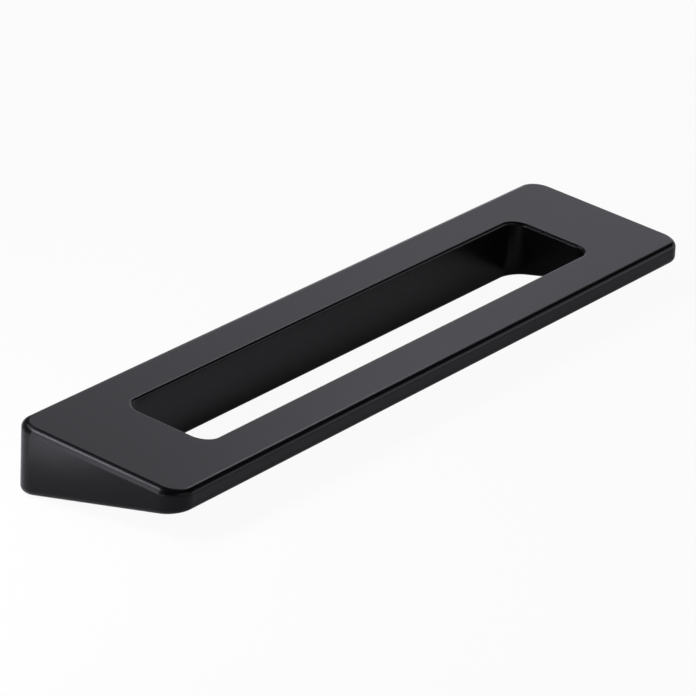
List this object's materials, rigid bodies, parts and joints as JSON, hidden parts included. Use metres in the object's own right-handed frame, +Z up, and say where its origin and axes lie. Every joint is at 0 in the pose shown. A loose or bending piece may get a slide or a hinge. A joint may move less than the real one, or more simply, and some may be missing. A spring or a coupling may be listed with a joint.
{
  "type": "bow handle",
  "caption": "Wedge-shaped bow handle with a long finger window and rounded edges, screwed to a drawer or door front from behind.",
  "frame": {"origin": "centre of the mounting face", "axes": "+X along the handle, +Y out of the mounting face into the furniture, +Z up"},
  "size_m": [0.19, 0.04, 0.015],
  "materials": {
    "satin_black": "smooth satin black coating"
  },
  "bodies": {
    "root": {"bow_handle": "satin_black"}
  },
  "joints": []
}
